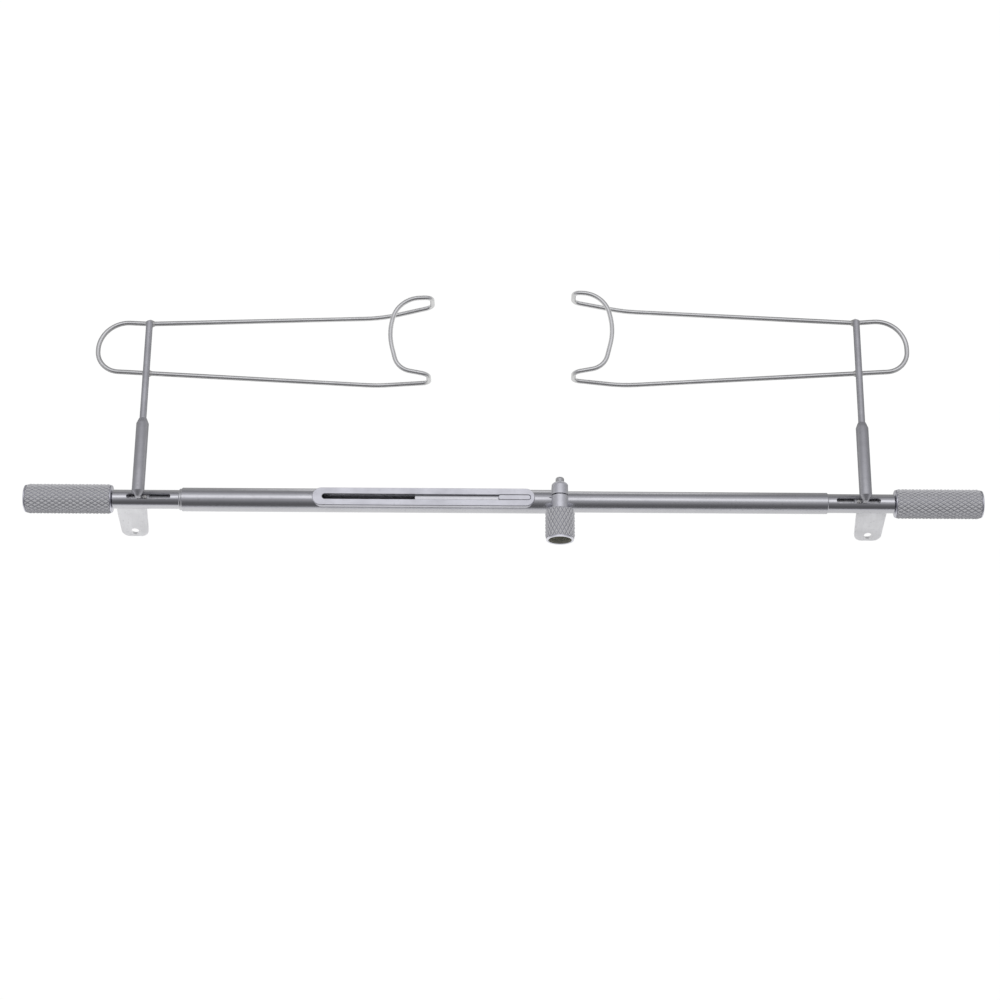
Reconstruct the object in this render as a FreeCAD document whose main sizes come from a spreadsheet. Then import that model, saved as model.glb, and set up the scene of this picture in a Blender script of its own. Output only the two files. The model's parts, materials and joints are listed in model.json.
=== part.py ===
"""Adjustable wire eye speculum with a telescoping bar, a split clamp and screw-driven blade carriages.

Millimetres. X runs along the bar, +Y points from the bar to the wire blades, +Z is the side that
the blade hooks rise on. The origin is on the bar's axis, midway between the two end knobs.
Distances along the bar are given outward from the middle, so both sides share them.
"""
import FreeCAD, Part
import math
import os
import Sketcher

LEFT = -1
RIGHT = 1
SIDE_NAMES = {LEFT: "left", RIGHT: "right"}

TELESCOPE_SIZES = [
    ("tube_d", 3.8, "outer tube, outside diameter"),
    ("tube_wall", 0.17, "outer tube, wall"),
    ("slide_gap", 0.03, "radial running gap of the telescope"),
    ("inner_wall", 0.17, "inner tube, wall"),
    ("inner_hidden", 13.25, "inner tube, length hidden to the left of the key"),
    ("tube_chamfer", 0.1, "chamfer on the tube mouths"),
    ("joint_gap", 0.01, "film of braze between fixed pieces"),
    ("bush_lip", 0.4, "end bush, lip outside the outer tube"),
    ("bush_depth", 6.0, "end bush, length inside the outer tube"),
    ("strip_end", 5.0, "guide strip, right end from the middle of the bar"),
    ("strip_length", 35.5, "guide strip, length"),
    ("strip_width", 3.0, "guide strip, width"),
    ("strip_rise", 0.14, "guide strip, height over the top of the tube"),
    ("strip_chamfer", 0.1, "guide strip, chamfer round its top"),
    ("slot_left_margin", 1.55, "guide slot, left end from the strip's left end"),
    ("slot_right_margin", 0.6, "guide slot, right end from the strip's right end"),
    ("slot_width", 0.95, "guide slot, width"),
    ("key_length", 5.2, "guide key, length"),
    ("key_gap", 0.05, "guide key, gap to the sides and the right end of the slot"),
    ("key_depth", 0.45, "guide key, depth below the inner tube's surface"),
    ("key_chamfer", 0.08, "guide key, chamfer round its top"),
]

CLAMP_SIZES = [
    ("clamp_set", 3.95, "clamp, middle of the ears from the strip's right end"),
    ("clamp_z", 2.8, "clamp screw, height of its axis over the bar's axis"),
    ("ear_d", 2.6, "clamp ears, width and rounding"),
    ("ear_reach", 2.2, "clamp ears, how far each stands from the split"),
    ("ear_crown", 0.6, "upper ear, rounding of its free end"),
    ("split_width", 0.2, "saw cut between the ears"),
    ("split_depth", 0.35, "saw cut, reach past the ears along the tube"),
    ("screw_d", 1.36, "clamp screw, diameter"),
    ("screw_gap", 0.04, "clamp screw, radial gap in the ears"),
    ("stud_length", 0.9, "clamp screw, end outside the upper ear"),
    ("stud_round", 0.35, "clamp screw, rounding of that end"),
    ("washer_thickness", 0.25, "clamp washer, thickness"),
    ("running_gap", 0.03, "gap between faces that turn on each other"),
    ("barrel_d", 4.7, "clamp barrel, outside diameter"),
    ("barrel_length", 5.0, "clamp barrel, length"),
    ("barrel_bore_d", 3.66, "clamp barrel, bore"),
    ("barrel_floor", 1.25, "clamp barrel, thickness of its closed end"),
    ("barrel_chamfer", 0.15, "clamp barrel, chamfer on its ends"),
    ("rivet_height", 0.3, "clamp screw, riveted head inside the barrel"),
    ("rivet_d", 2.2, "clamp screw, diameter of that head"),
]

ROD_SIZES = [
    ("rod_outer", 62.5, "slotted rods, outer end from the middle of the bar"),
    ("rod_length", 18.5, "slotted rods, length"),
    ("rod_bare", 10.7, "slotted rods, length that stands out of the telescope"),
    ("rod_chamfer", 0.15, "slotted rods, chamfer on the outer end"),
    ("rod_slot_margin", 2.35, "rod slot, outer end from the rod's outer end"),
    ("rod_slot_length", 7.05, "rod slot, length"),
    ("rod_slot_width", 0.95, "rod slot, width"),
    ("nut_bore_d", 1.95, "rod, bore that the travel nut runs in"),
    ("pilot_length", 1.2, "rod, bearing for the tip of the lead screw"),
    ("screw_bush_length", 2.0, "screw bush, length"),
    ("lead_d", 1.2, "lead screw, diameter"),
    ("lead_gap", 0.03, "lead screw, radial gap in nut and bearings"),
    ("collar_d", 1.8, "lead screw, thrust collar diameter"),
    ("collar_length", 0.4, "lead screw, thrust collar length"),
    ("lead_grip", 9.0, "lead screw, length held inside the knob"),
    ("knob_gap", 0.08, "end knob, gap to the rod"),
    ("knob_d", 4.75, "end knob, diameter"),
    ("knob_length", 13.95, "end knob, length"),
    ("knob_chamfer", 0.3, "end knob, chamfer on its inner end"),
    ("knob_round", 0.45, "end knob, wider chamfer on its outer end"),
    ("tab_width", 4.9, "side tab, width at the rod"),
    ("tab_end_width", 4.25, "side tab, width at its free end"),
    ("tab_reach", 8.1, "side tab, end from the bar's axis"),
    ("tab_thickness", 0.5, "side tab, thickness"),
    ("tab_corner", 1.3, "side tab, corner radius"),
    ("tab_hole_d", 1.3, "side tab, hole"),
    ("tab_hole_margin", 1.1, "side tab, middle of the hole from the free end"),
    ("tab_turn", 115.9, "side tab, turn from +Y, degrees"),
]

CARRIAGE_SIZES = [
    ("nut_gap", 0.03, "travel nut, radial gap in the rod"),
    ("nut_inward", 1.5, "travel nut, reach inward of the post"),
    ("nut_outward", 0.75, "travel nut, reach outward of the post"),
    ("neck_length", 0.7, "travel nut, neck length along the slot"),
    ("neck_gap", 0.06, "travel nut, neck gap to each side of the slot"),
    ("pin_d", 0.6, "guide pin, diameter"),
    ("pin_inward", 0.87, "guide pin, distance inward of the post"),
    ("pin_rise", 0.12, "guide pin, dome over the rod's surface"),
    ("pin_aside", 0.13, "guide pin, offset from the slot's middle"),
    ("post_gap", 0.1, "post socket, gap over the rod"),
    ("socket_d", 2.0, "post socket, diameter"),
    ("socket_tip_d", 0.7, "post socket, diameter of its pointed foot"),
    ("socket_foot", 0.5, "post socket, foot below the bar's axis"),
    ("socket_base", 0.4, "post socket, start of its full diameter"),
    ("socket_top", 12.85, "post socket, top"),
    ("socket_taper", 0.9, "post socket, length of its top taper"),
    ("socket_mouth_wall", 0.08, "post socket, wall at its mouth"),
    ("stem_d", 1.1, "post stem, diameter"),
    ("stem_grip", 4.0, "post stem, length inside the socket"),
    ("stem_over", 0.05, "post stem, end past the upper arm's axis"),
    ("stem_chamfer", 0.12, "post stem, chamfer on its end"),
    ("wire_d", 0.75, "blade wire, diameter"),
    ("braze_gap", 0.02, "gap between stem and wire, filled by the braze"),
    ("braze_length", 2.3, "braze fillet, length along the wire"),
    ("braze_d", 1.5, "braze fillet, diameter at the stem"),
    ("butt_gap", 0.02, "blade wire, butt joint behind the stem"),
    ("hook_depth", 4.15, "blade, height of the hooked strand over the arms"),
    ("tip_bend", 1.1, "blade, bend radius at the four tips"),
    ("tip_drop", 0.22, "blade, drop of the upper tip from the arm to the hooked strand"),
    ("low_tip_drop", 0.33, "blade, drop of the lower tip from the arm to the hooked strand"),
    ("knee_bend", 26.0, "blade, bend radius of the arms"),
    ("knee_set", 8.3, "upper arm, knee from the tip"),
    ("crook_top_bend", 4.6, "hooked strand, upper bend radius"),
    ("crook_top_set", 1.4, "hooked strand, upper corner inward of its back"),
    ("crook_top_drop", 0.44, "hooked strand, upper corner below the tip"),
    ("crook_back_bend", 10.5, "hooked strand, bend radius of its back"),
    ("crook_low_bend", 3.15, "hooked strand, lower bend radius"),
    ("crook_low_set", 1.56, "hooked strand, lower corner inward of its back"),
    ("crook_low_rise", 0.65, "hooked strand, lower corner over the lower tip"),
    ("lip_bend", 2.1, "hooked strand, small bend towards the lower tip"),
    ("lip_set", 2.9, "hooked strand, small bend from the lower tip"),
    ("lip_rise", 0.24, "hooked strand, small bend over the lower tip"),
    ("loop_top_bend", 4.8, "blade, outer loop, upper bend radius"),
    ("loop_low_bend", 3.65, "blade, outer loop, lower bend radius"),
]

# The two blades are bent by hand, so these sizes are given for each.
BLADE_SIZES = [
    ("left_tab_set", 2.8, "left tab from the rod's outer end"),
    ("left_post_set", 2.05, "left post from the outer end of the rod's slot"),
    ("left_loop_reach", 8.25, "left outer loop beyond the post"),
    ("left_loop_rise", 0.65, "left outer loop, its top over the line of the upper arm"),
    ("left_arm_reach", 46.25, "left upper tip from the post"),
    ("left_tip_set", 0.35, "left lower tip, outward of the upper tip"),
    ("left_crook_set", 6.9, "left hooked strand, back from the upper tip"),
    ("left_low_knee_set", 8.45, "left lower arm, knee from its tip"),
    ("left_arm_top", 30.0, "left upper arm at the post"),
    ("left_arm_low", 21.2, "left lower arm at the post"),
    ("left_knee_top", 31.25, "left upper arm at its knee"),
    ("left_knee_low", 19.25, "left lower arm at its knee"),
    ("left_tip_top", 33.35, "left upper tip"),
    ("left_tip_low", 19.85, "left lower tip"),
    ("right_tab_set", 3.4, "right tab from the rod's outer end"),
    ("right_post_set", 2.58, "right post from the outer end of the rod's slot"),
    ("right_loop_reach", 8.2, "right outer loop beyond the post"),
    ("right_loop_rise", 1.05, "right outer loop, its top over the line of the upper arm"),
    ("right_arm_reach", 46.3, "right upper tip from the post"),
    ("right_tip_set", -0.1, "right lower tip, outward of the upper tip"),
    ("right_crook_set", 6.4, "right hooked strand, back from the upper tip"),
    ("right_low_knee_set", 8.05, "right lower arm, knee from its tip"),
    ("right_arm_top", 30.95, "right upper arm at the post"),
    ("right_arm_low", 21.95, "right lower arm at the post"),
    ("right_knee_top", 32.75, "right upper arm at its knee"),
    ("right_knee_low", 19.55, "right lower arm at its knee"),
    ("right_tip_top", 34.4, "right upper tip"),
    ("right_tip_low", 20.4, "right lower tip"),
]


class Size:
    """A length that knows both its value and the formula that gives it from the sheet."""

    def __init__(self, value, formula):
        self.value = value
        self.formula = formula

    def join(self, other, sign, value):
        return Size(value, "(%s %s %s)" % (self.formula, sign, other.formula))

    def __add__(self, other):
        other = as_size(other)
        return self.join(other, "+", self.value + other.value)

    def __sub__(self, other):
        other = as_size(other)
        return self.join(other, "-", self.value - other.value)

    def __mul__(self, other):
        other = as_size(other)
        return self.join(other, "*", self.value * other.value)

    def __truediv__(self, other):
        other = as_size(other)
        return self.join(other, "/", self.value / other.value)

    def __neg__(self):
        return self * -1


def as_size(number):
    """Let a plain number stand beside a size in a formula."""
    if isinstance(number, Size):
        return number
    return Size(float(number), repr(float(number)))


ZERO = as_size(0)

doc = FreeCAD.newDocument("eye_speculum")
sheet = doc.addObject("Spreadsheet::Sheet", "Sizes")
row = 0
for group in (TELESCOPE_SIZES, CLAMP_SIZES, ROD_SIZES, CARRIAGE_SIZES, BLADE_SIZES):
    for alias, value, meaning in group:
        row += 1
        sheet.set("A%d" % row, meaning)
        sheet.set("B%d" % row, str(value))
        sheet.setAlias("B%d" % row, alias)
doc.recompute()

pieces = []


def size(alias):
    """One driving size, read from the sheet."""
    return Size(float(sheet.get(alias)), "Sizes." + alias)


def keep(piece, label):
    """Name a finished piece and list it for the export."""
    piece.Label = label
    pieces.append(piece)
    return piece


def bind(thing, name, length):
    """Drive one property of an object by a size."""
    setattr(thing, name, length.value)
    thing.setExpression(name, length.formula)


def place(thing, at, rotation):
    """Put an object at three sizes, turned by a fixed rotation."""
    x, y, z = (as_size(number) for number in at)
    thing.Placement = FreeCAD.Placement(FreeCAD.Vector(x.value, y.value, z.value), rotation)
    thing.setExpression("Placement.Base.x", x.formula)
    thing.setExpression("Placement.Base.y", y.formula)
    thing.setExpression("Placement.Base.z", z.formula)


def direction(name):
    """The unit vector of a signed axis such as +X."""
    sign = 1 if name[0] == "+" else -1
    return FreeCAD.Vector(*[sign if axis == name[1] else 0 for axis in "XYZ"])


def outward(side):
    """The signed axis that leaves the middle of the bar on one side."""
    return "+X" if side == RIGHT else "-X"


def cylinder(name, diameter, length, at, toward):
    """A plain cylinder from a point, along a signed axis."""
    thing = doc.addObject("Part::Cylinder", name)
    bind(thing, "Radius", as_size(diameter) / 2)
    bind(thing, "Height", as_size(length))
    place(thing, at, FreeCAD.Rotation(FreeCAD.Vector(0, 0, 1), direction(toward)))
    return thing


def box(name, at, spans):
    """A box from its lowest corner."""
    thing = doc.addObject("Part::Box", name)
    for prop, span in zip(("Length", "Width", "Height"), spans):
        bind(thing, prop, as_size(span))
    place(thing, at, FreeCAD.Rotation())
    return thing


def fuse(name, things):
    """Several solids as one."""
    thing = doc.addObject("Part::MultiFuse", name)
    thing.Shapes = things
    return thing


def cut(name, base, tools):
    """A solid less its tools."""
    thing = doc.addObject("Part::Cut", name)
    thing.Base = base
    thing.Tool = tools[0] if len(tools) == 1 else fuse(name + "_tools", tools)
    return thing


def own_plane(body, role):
    """One of the body's own origin planes."""
    return [feature for feature in body.Origin.OriginFeatures if feature.Role == role][0]


def new_sketch(body, name, role):
    """An empty sketch on one of the body's own planes."""
    sketch = body.newObject("Sketcher::SketchObject", name)
    sketch.AttachmentSupport = [(own_plane(body, role), "")]
    sketch.MapMode = "FlatFace"
    return sketch


def dimension(sketch, constraint, length):
    """Add a driven dimension to a sketch."""
    index = sketch.addConstraint(constraint)
    sketch.setExpression("Constraints[%d]" % index, length.formula)


def fix_point(sketch, geometry, end, x, y):
    """Hold one end of a sketch line at two sizes from the sketch's origin."""
    for kind, axis, length in (("DistanceX", -2, x), ("DistanceY", -1, y)):
        if length is ZERO:
            sketch.addConstraint(Sketcher.Constraint("PointOnObject", geometry, end, axis))
        else:
            rule = Sketcher.Constraint(kind, -1, 1, geometry, end, length.value)
            dimension(sketch, rule, length)


def outline(body, name, role, corners):
    """A closed straight-sided sketch through a list of corners."""
    sketch = new_sketch(body, name, role)
    points = [FreeCAD.Vector(x.value, y.value, 0) for x, y in corners]
    count = len(points)
    for i in range(count):
        sketch.addGeometry(Part.LineSegment(points[i], points[(i + 1) % count]), False)
    for i in range(count):
        sketch.addConstraint(Sketcher.Constraint("Coincident", i, 2, (i + 1) % count, 1))
    for i, (x, y) in enumerate(corners):
        fix_point(sketch, i, 1, x, y)
    return sketch


def obround(body, name, role, low, high, width):
    """A slot-shaped sketch along the first axis, from one rounded end to the other."""
    sketch = new_sketch(body, name, role)
    radius = width / 2
    first = low + radius
    last = high - radius
    up = FreeCAD.Vector(0, 0, 1)
    lift = FreeCAD.Vector(0, radius.value, 0)
    a = FreeCAD.Vector(first.value, 0, 0)
    b = FreeCAD.Vector(last.value, 0, 0)
    quarter = math.pi / 2
    sketch.addGeometry(Part.ArcOfCircle(Part.Circle(a, up, radius.value), quarter, 3 * quarter), False)
    sketch.addGeometry(Part.LineSegment(a - lift, b - lift), False)
    sketch.addGeometry(Part.ArcOfCircle(Part.Circle(b, up, radius.value), -quarter, quarter), False)
    sketch.addGeometry(Part.LineSegment(b + lift, a + lift), False)
    for i in range(4):
        sketch.addConstraint(Sketcher.Constraint("Tangent", i, 2, (i + 1) % 4, 1))
    for arc in (0, 2):
        sketch.addConstraint(Sketcher.Constraint("PointOnObject", arc, 3, -1))
    sketch.addConstraint(Sketcher.Constraint("Equal", 0, 2))
    dimension(sketch, Sketcher.Constraint("Radius", 0, radius.value), radius)
    dimension(sketch, Sketcher.Constraint("DistanceX", -1, 1, 0, 3, first.value), first)
    dimension(sketch, Sketcher.Constraint("DistanceX", -1, 1, 2, 3, last.value), last)
    return sketch


def turned(name, profile, at, toward):
    """A turned piece: corners of (distance along the axis, radius), turned about the axis."""
    body = doc.addObject("PartDesign::Body", name)
    sketch = outline(body, name + "_profile", "XY_Plane", [(as_size(x), as_size(r)) for x, r in profile])
    turn = body.newObject("PartDesign::Revolution", name + "_turn")
    turn.Profile = sketch
    turn.ReferenceAxis = (sketch, ["H_Axis"])
    turn.Angle = 360.0
    place(body, at, FreeCAD.Rotation(FreeCAD.Vector(1, 0, 0), direction(toward)))
    return body


def pad(body, sketch, name, thickness, midplane):
    """Give a sketch its thickness."""
    feature = body.newObject("PartDesign::Pad", name)
    feature.Profile = sketch
    bind(feature, "Length", thickness)
    feature.Midplane = midplane
    doc.recompute()
    return feature


def dress(body, kind, name, base, chosen, amount):
    """A chamfer or a fillet on the edges that a test chooses."""
    feature = body.newObject("PartDesign::" + kind, name)
    names = ["Edge%d" % (i + 1) for i, edge in enumerate(base.Shape.Edges) if chosen(edge)]
    feature.Base = (base, names)
    bind(feature, "Size" if kind == "Chamfer" else "Radius", amount)
    return feature


def near(a, b):
    """Whether two places agree to well under any size of the part."""
    return abs(a - b) < 1e-4


def round_end(body, at, radius):
    """Round the rim of a turned piece at one distance along its axis."""
    doc.recompute()
    dress(body, "Fillet", body.Name + "_rounding", body.Tip,
          lambda edge: near(edge.BoundBox.XMin, at.value) and near(edge.BoundBox.XMax, at.value), radius)


# Sizes that several pieces share
tube_r = size("tube_d") / 2
tube_bore_r = tube_r - size("tube_wall")
inner_r = tube_bore_r - size("slide_gap")
inner_bore_r = inner_r - size("inner_wall")
rod_r = inner_bore_r - size("joint_gap")
nut_bore_r = size("nut_bore_d") / 2
lead_r = size("lead_d") / 2
lead_hole_r = lead_r + size("lead_gap")
strip_top = tube_r + size("strip_rise")
post_z = rod_r + size("post_gap") + size("socket_d") / 2
stem_r = size("stem_d") / 2
wire_r = size("wire_d") / 2
wire_z = post_z - stem_r - size("braze_gap") - wire_r
screw_r = size("screw_d") / 2
screw_hole_r = screw_r + size("screw_gap")
ear_r = size("ear_d") / 2
ear_tip = size("ear_reach")
half_split = size("split_width") / 2
washer_face = ear_tip + size("washer_thickness")
barrel_face = washer_face + size("running_gap")

# Places near the two ends, outward from the middle of the bar
rod_outer = size("rod_outer")
rod_slot_outer = rod_outer - size("rod_slot_margin")
rod_slot_inner = rod_slot_outer - size("rod_slot_length")
pilot_end = rod_slot_inner - size("pilot_length")
bush_inner = rod_outer - size("screw_bush_length")
knob_face = rod_outer + size("knob_gap")
telescope_end = rod_outer - size("rod_bare")
tube_start = telescope_end - size("bush_lip")

# Places near the middle: starts lie to its left and ends to its right
strip_end = size("strip_end")
strip_start = size("strip_length") - strip_end
slot_start = strip_start - size("slot_left_margin")
slot_end = strip_end - size("slot_right_margin")
key_end = slot_end - size("key_gap")
key_start = size("key_length") - key_end
inner_tube_start = key_start + size("inner_hidden")
clamp_x = strip_end + size("clamp_set")
tube_end = clamp_x + ear_r


def post_place(side):
    """How far a post stands from the middle of the bar."""
    return rod_slot_outer - size(SIDE_NAMES[side] + "_post_set")


def slot_cutter(name, low, high, width, floor, depth):
    """An upright slot-shaped block from a floor level, for cutting."""
    body = doc.addObject("PartDesign::Body", name)
    sketch = obround(body, name + "_outline", "XY_Plane", low, high, width)
    pad(body, sketch, name + "_pad", as_size(depth), False)
    place(body, (0, 0, floor), FreeCAD.Rotation())
    return body


def outer_tube():
    """The fixed half of the telescope, with the guide slot and the saw cut of the clamp."""
    chamfer = size("tube_chamfer")
    blank = turned("outer_tube_blank", [
        (-tube_start, tube_bore_r),
        (-tube_start, tube_r - chamfer),
        (-tube_start + chamfer, tube_r),
        (tube_end - chamfer, tube_r),
        (tube_end, tube_r - chamfer),
        (tube_end, tube_bore_r),
    ], (0, 0, 0), "+X")
    slot = slot_cutter("outer_tube_slot", -slot_start, slot_end, size("slot_width"), ZERO, size("tube_d"))
    split_start = clamp_x - ear_r - size("split_depth")
    split = box("outer_tube_split", (split_start, -half_split, 0),
                (tube_end - split_start + 1, size("split_width"), size("tube_d")))
    keep(cut("outer_tube_cut", blank, [slot, split]), "outer_tube")


def guide_strip():
    """The flat strip round the slot, saddled on the tube and chamfered round its top."""
    body = doc.addObject("PartDesign::Body", "guide_strip_blank")
    flat = obround(body, "guide_strip_outline", "XY_Plane", -strip_start, strip_end, size("strip_width"))
    plate = pad(body, flat, "guide_strip_pad", strip_top, False)
    dress(body, "Chamfer", "guide_strip_edge", plate,
          lambda edge: near(edge.BoundBox.ZMin, plate.Shape.BoundBox.ZMax), size("strip_chamfer"))
    slot = slot_cutter("guide_strip_slot", -slot_start, slot_end, size("slot_width"), ZERO, size("tube_d"))
    saddle = cylinder("guide_strip_saddle", (tube_r + size("joint_gap")) * 2, size("strip_length") + 2,
                      (-strip_start - 1, 0, 0), "+X")
    keep(cut("guide_strip_cut", body, [slot, saddle]), "guide_strip")


def end_bush():
    """The bush that centres the left rod in the wider outer tube."""
    inside = tube_start - size("bush_depth")
    gap = size("joint_gap")
    chamfer = size("tube_chamfer")
    keep(turned("left_end_bush", [
        (inside, rod_r + gap),
        (inside, tube_bore_r - gap),
        (telescope_end - chamfer, tube_bore_r - gap),
        (telescope_end, tube_bore_r - gap - chamfer),
        (telescope_end, rod_r + gap),
    ], (0, 0, 0), "-X"), "left_end_bush")


def inner_tube():
    """The sliding half of the telescope, pocketed for the guide key."""
    chamfer = size("tube_chamfer")
    blank = turned("inner_tube_blank", [
        (-inner_tube_start, inner_bore_r),
        (-inner_tube_start, inner_r),
        (telescope_end - chamfer, inner_r),
        (telescope_end, inner_r - chamfer),
        (telescope_end, inner_bore_r),
    ], (0, 0, 0), "+X")
    gap = size("joint_gap")
    pocket = slot_cutter("inner_tube_pocket", -key_start - gap, key_end + gap,
                         size("slot_width") - size("key_gap") * 2 + gap * 2, ZERO, size("tube_d"))
    keep(cut("inner_tube_cut", blank, [pocket]), "inner_tube")


def guide_key():
    """The key on the inner tube that runs in the guide slot."""
    body = doc.addObject("PartDesign::Body", "guide_key")
    width = size("slot_width") - size("key_gap") * 2
    floor = inner_r - size("key_depth")
    flat = obround(body, "guide_key_outline", "XY_Plane", -key_start, key_end, width)
    block = pad(body, flat, "guide_key_pad", strip_top - floor, False)
    dress(body, "Chamfer", "guide_key_edge", block,
          lambda edge: near(edge.BoundBox.ZMin, block.Shape.BoundBox.ZMax), size("key_chamfer"))
    place(body, (0, 0, floor), FreeCAD.Rotation())
    keep(body, "guide_key")


def slotted_rod(side):
    """A rod end: bored for the travel nut, slotted on its hook side, with a pilot bearing."""
    name = SIDE_NAMES[side] + "_slotted_rod"
    inner = rod_outer - size("rod_length")
    chamfer = size("rod_chamfer")
    blank = turned(name + "_blank", [
        (inner, ZERO),
        (inner, rod_r),
        (rod_outer - chamfer, rod_r),
        (rod_outer, rod_r - chamfer),
        (rod_outer, nut_bore_r),
        (rod_slot_inner, nut_bore_r),
        (rod_slot_inner, lead_hole_r),
        (pilot_end, lead_hole_r),
        (pilot_end, ZERO),
    ], (0, 0, 0), outward(side))
    low, high = rod_slot_inner, rod_slot_outer
    if side == LEFT:
        low, high = -high, -low
    slot = slot_cutter(name + "_slot", low, high, size("rod_slot_width"), ZERO, size("tube_d"))
    keep(cut(name + "_cut", blank, [slot]), name)


def screw_bush(side):
    """The bearing that closes the outer end of the rod round the lead screw."""
    name = SIDE_NAMES[side] + "_screw_bush"
    outside = nut_bore_r - size("joint_gap")
    keep(turned(name, [
        (bush_inner, lead_hole_r),
        (bush_inner, outside),
        (rod_outer, outside),
        (rod_outer, lead_hole_r),
    ], (0, 0, 0), outward(side)), name)


def side_tab(side):
    """A rounded tab with a hole, brazed under the rod end."""
    name = SIDE_NAMES[side] + "_side_tab"
    body = doc.addObject("PartDesign::Body", name + "_blank")
    root = rod_r / 2
    end = size("tab_reach")
    half = size("tab_width") / 2
    end_half = size("tab_end_width") / 2
    shape = outline(body, name + "_outline", "XY_Plane", [
        (-half, root),
        (half, root),
        (end_half, end),
        (-end_half, end),
    ])
    plate = pad(body, shape, name + "_pad", size("tab_thickness"), True)
    corners = dress(body, "Fillet", name + "_corners", plate,
                    lambda edge: near(edge.BoundBox.YMin, end.value) and near(edge.BoundBox.XLength, 0),
                    size("tab_corner"))
    doc.recompute()
    ring = new_sketch(body, name + "_hole_ring", "XY_Plane")
    centre = end - size("tab_hole_margin")
    radius = size("tab_hole_d") / 2
    circle = Part.Circle(FreeCAD.Vector(0, centre.value, 0), FreeCAD.Vector(0, 0, 1), radius.value)
    ring.addGeometry(circle, False)
    dimension(ring, Sketcher.Constraint("Radius", 0, radius.value), radius)
    fix_point(ring, 0, 3, ZERO, centre)
    hole = body.newObject("PartDesign::Pocket", name + "_hole")
    hole.Profile = ring
    hole.Type = "ThroughAll"
    hole.Midplane = True
    body.Tip = hole
    x = (rod_outer - size(SIDE_NAMES[side] + "_tab_set")) * side
    turn = size("tab_turn")
    place(body, (x, 0, 0), FreeCAD.Rotation(FreeCAD.Vector(-1, 0, 0), turn.value))
    body.setExpression("Placement.Rotation.Angle", turn.formula)
    width = size("tab_width") + 2
    saddle = cylinder(name + "_saddle", (rod_r + size("joint_gap")) * 2, width, (x - width / 2, 0, 0), "+X")
    keep(cut(name + "_cut", body, [saddle]), name)


def knob(side):
    """An end knob, bored to grip the lead screw."""
    name = SIDE_NAMES[side] + "_knob"
    length = size("knob_length")
    radius = size("knob_d") / 2
    inner = size("knob_chamfer")
    outer = size("knob_round")
    hole = lead_r + size("joint_gap")
    depth = size("lead_grip") + size("joint_gap")
    keep(turned(name, [
        (ZERO, hole),
        (ZERO, radius - inner),
        (inner, radius),
        (length - outer, radius),
        (length, radius - outer),
        (length, ZERO),
        (depth, ZERO),
        (depth, hole),
    ], (knob_face * side, 0, 0), outward(side)), name)


def lead_screw(side):
    """The screw from its pilot tip, past the thrust collar, into the knob."""
    name = SIDE_NAMES[side] + "_lead_screw"
    tip = pilot_end + size("knob_gap")
    collar_face = bush_inner - size("running_gap")
    collar_back = collar_face - size("collar_length")
    collar_r = size("collar_d") / 2
    end = knob_face + size("lead_grip")
    keep(turned(name, [
        (tip, ZERO),
        (tip, lead_r),
        (collar_back, lead_r),
        (collar_back, collar_r),
        (collar_face, collar_r),
        (collar_face, lead_r),
        (end, lead_r),
        (end, ZERO),
    ], (0, 0, 0), outward(side)), name)


def travel_nut(side):
    """The nut on the lead screw, with a neck that rises through the rod's slot."""
    name = SIDE_NAMES[side] + "_travel_nut"
    post_x = post_place(side)
    low = post_x - size("nut_inward")
    high = post_x + size("nut_outward")
    outside = nut_bore_r - size("nut_gap")
    barrel = turned(name + "_barrel", [
        (low, lead_hole_r),
        (low, outside),
        (high, outside),
        (high, lead_hole_r),
    ], (0, 0, 0), outward(side))
    neck_width = size("rod_slot_width") - size("neck_gap") * 2
    neck_floor = (lead_hole_r + nut_bore_r) / 2
    neck = box(name + "_neck",
               (post_x * side - size("neck_length") / 2, -neck_width / 2, neck_floor),
               (size("neck_length"), neck_width, post_z - neck_floor))
    solid = fuse(name + "_solid", [barrel, neck])
    pin_hole = cylinder(name + "_pin_hole", size("pin_d") + size("joint_gap") * 2, size("tube_d"),
                        ((post_x - size("pin_inward")) * side, -size("pin_aside"), 0), "+Z")
    keep(cut(name + "_cut", solid, [pin_hole]), name)


def guide_pin(side):
    """The domed pin that keeps the nut square in the slot."""
    name = SIDE_NAMES[side] + "_guide_pin"
    radius = size("pin_d") / 2
    foot = lead_hole_r + size("joint_gap")
    dome = rod_r + size("pin_rise")
    keep(turned(name, [
        (foot, ZERO),
        (foot, radius),
        (dome - radius / 2, radius),
        (dome, radius / 2),
        (dome, ZERO),
    ], ((post_place(side) - size("pin_inward")) * side, -size("pin_aside"), 0), "+Z"), name)


def post_socket(side):
    """The thick lower half of the post, pointed at its foot and bored for the stem."""
    name = SIDE_NAMES[side] + "_post_socket"
    x = post_place(side) * side
    radius = size("socket_d") / 2
    bore = stem_r + size("joint_gap")
    top = size("socket_top")
    seat = top - size("stem_grip") - size("joint_gap")
    blank = turned(name + "_blank", [
        (-size("socket_foot"), ZERO),
        (-size("socket_foot"), size("socket_tip_d") / 2),
        (size("socket_base"), radius),
        (top - size("socket_taper"), radius),
        (top, bore + size("socket_mouth_wall")),
        (top, bore),
        (seat, bore),
        (seat, ZERO),
    ], (x, 0, post_z), "+Y")
    gap = size("joint_gap")
    width = size("rod_slot_width") - size("neck_gap") * 2 + gap * 2
    length = size("neck_length") + gap * 2
    mortise = box(name + "_mortise", (x - length / 2, -width / 2, 0), (length, width, post_z + gap))
    keep(cut(name + "_cut", blank, [mortise]), name)


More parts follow.
